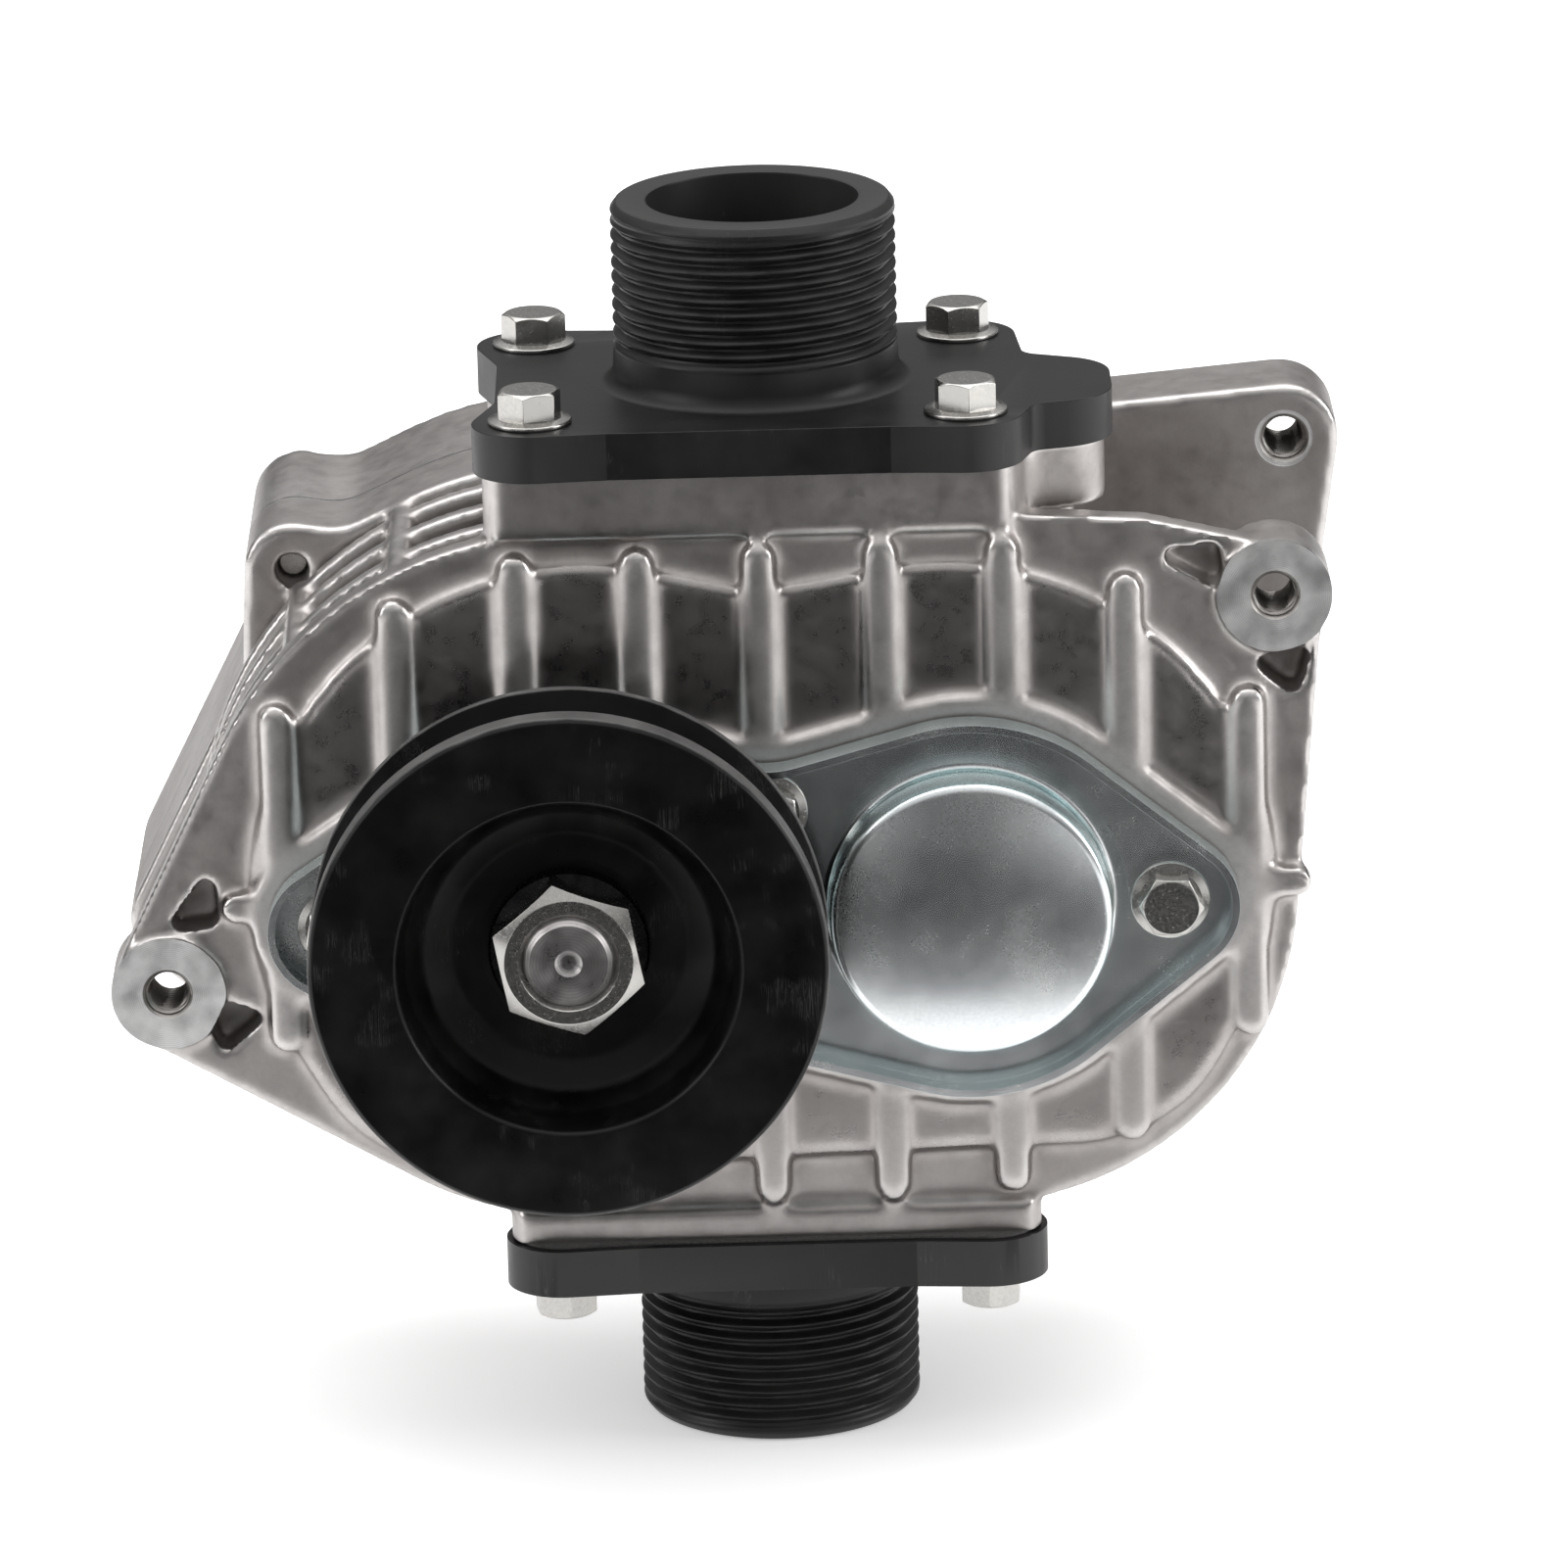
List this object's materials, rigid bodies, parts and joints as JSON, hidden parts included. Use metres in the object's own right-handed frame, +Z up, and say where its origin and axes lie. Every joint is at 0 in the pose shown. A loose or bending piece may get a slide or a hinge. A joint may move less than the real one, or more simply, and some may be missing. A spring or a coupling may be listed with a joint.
{
  "type": "supercharger",
  "caption": "Belt-driven twin-rotor supercharger with a ribbed cast housing, V-belt pulley, stamped bearing cover and threaded inlet and outlet adapters.",
  "frame": {"origin": "on the drive shaft's axis, in the middle plane of the pulley's belt groove", "axes": "+Y runs from the pulley to the rear cover along the drive shaft, +Z up to the inlet adapter, +X from the drive shaft towards the driven shaft"},
  "size_m": [0.2195, 0.1462, 0.2228],
  "materials": {
    "cast_aluminium": "sand-free die-cast aluminium, satin grey with fine grain",
    "machined_aluminium": "turned and milled aluminium",
    "zinc_plate": "bright zinc-plated pressed steel, bluish",
    "zinc_fasteners": "bright zinc-plated steel, slightly yellow",
    "black_paint": "semi-gloss black paint on turned steel, worn grey at the rim",
    "dark_steel": "dark glossy blued steel",
    "black_plastic": "moulded black glass-filled plastic, satin",
    "turned_steel": "turned steel, oiled",
    "gear_steel": "hobbed and ground alloy steel",
    "bearing_steel": "polished bearing steel",
    "seal_rubber": "black nitrile rubber",
    "gasket": "pressed fibre gasket sheet, dark grey",
    "copper_washers": "soft copper sealing washers"
  },
  "bodies": {
    "casing": {"housing": "cast_aluminium", "rear_cover": "cast_aluminium", "rear_gasket": "gasket", "bearing_plate": "machined_aluminium", "bearing_cover": "zinc_plate", "cover_gasket": "gasket", "inlet_adapter": "black_plastic", "outlet_adapter": "black_plastic", "inlet_gasket": "gasket", "outlet_gasket": "gasket", "inlet_bolts": "zinc_fasteners", "outlet_bolts": "zinc_fasteners", "cover_bolts": "zinc_fasteners", "rear_cover_bolts": "zinc_fasteners", "dowel_pins": "turned_steel", "oil_fill_plug": "zinc_fasteners", "oil_drain_plug": "zinc_fasteners", "plug_washers": "copper_washers", "shaft_seal": "seal_rubber", "front_rotor_seals": "seal_rubber", "rear_rotor_seals": "seal_rubber", "drive_front_bearing_outer": "bearing_steel", "drive_rear_bearing_outer": "bearing_steel", "driven_front_bearing_outer": "bearing_steel", "driven_rear_bearing_outer": "bearing_steel"},
    "drive_train": {"drive_shaft": "turned_steel", "drive_rotor": "machined_aluminium", "drive_gear": "gear_steel", "drive_gear_spacer": "turned_steel", "drive_gear_nut": "turned_steel", "pulley": "black_paint", "pulley_key": "turned_steel", "pulley_washer": "dark_steel", "pulley_nut": "zinc_fasteners", "seal_sleeve": "turned_steel", "drive_front_bearing_inner": "bearing_steel", "drive_rear_bearing_inner": "bearing_steel"},
    "driven_train": {"driven_shaft": "turned_steel", "driven_rotor": "machined_aluminium", "driven_gear": "gear_steel", "driven_gear_spacer": "turned_steel", "driven_gear_nut": "turned_steel", "driven_front_bearing_inner": "bearing_steel", "driven_rear_bearing_inner": "bearing_steel"},
    "drive_front_balls": {"drive_front_bearing_balls": "bearing_steel"},
    "drive_rear_balls": {"drive_rear_bearing_balls": "bearing_steel"},
    "driven_front_balls": {"driven_front_bearing_balls": "bearing_steel"},
    "driven_rear_balls": {"driven_rear_bearing_balls": "bearing_steel"}
  },
  "joints": [
    {"name": "drive_spin", "type": "hinge", "parent": "casing", "child": "drive_train", "pos_m": [0, 0, 0], "axis": [0, 1, 0], "continuous": true},
    {"name": "driven_spin", "type": "hinge", "parent": "casing", "child": "driven_train", "pos_m": [0.07, 0, 0], "axis": [0, 1, 0], "continuous": true},
    {"name": "drive_front_cage_spin", "type": "hinge", "parent": "casing", "child": "drive_front_balls", "pos_m": [0, 0, 0], "axis": [0, 1, 0], "continuous": true},
    {"name": "drive_rear_cage_spin", "type": "hinge", "parent": "casing", "child": "drive_rear_balls", "pos_m": [0, 0, 0], "axis": [0, 1, 0], "continuous": true},
    {"name": "driven_front_cage_spin", "type": "hinge", "parent": "casing", "child": "driven_front_balls", "pos_m": [0.07, 0, 0], "axis": [0, 1, 0], "continuous": true},
    {"name": "driven_rear_cage_spin", "type": "hinge", "parent": "casing", "child": "driven_rear_balls", "pos_m": [0.07, 0, 0], "axis": [0, 1, 0], "continuous": true}
  ],
  "couplings": [
    {"joint": "driven_spin", "follows": "drive_spin", "ratio": -1},
    {"joint": "drive_front_cage_spin", "follows": "drive_spin", "ratio": 0.383},
    {"joint": "drive_rear_cage_spin", "follows": "drive_spin", "ratio": 0.3996},
    {"joint": "driven_front_cage_spin", "follows": "drive_spin", "ratio": -0.383},
    {"joint": "driven_rear_cage_spin", "follows": "drive_spin", "ratio": -0.3996}
  ]
}
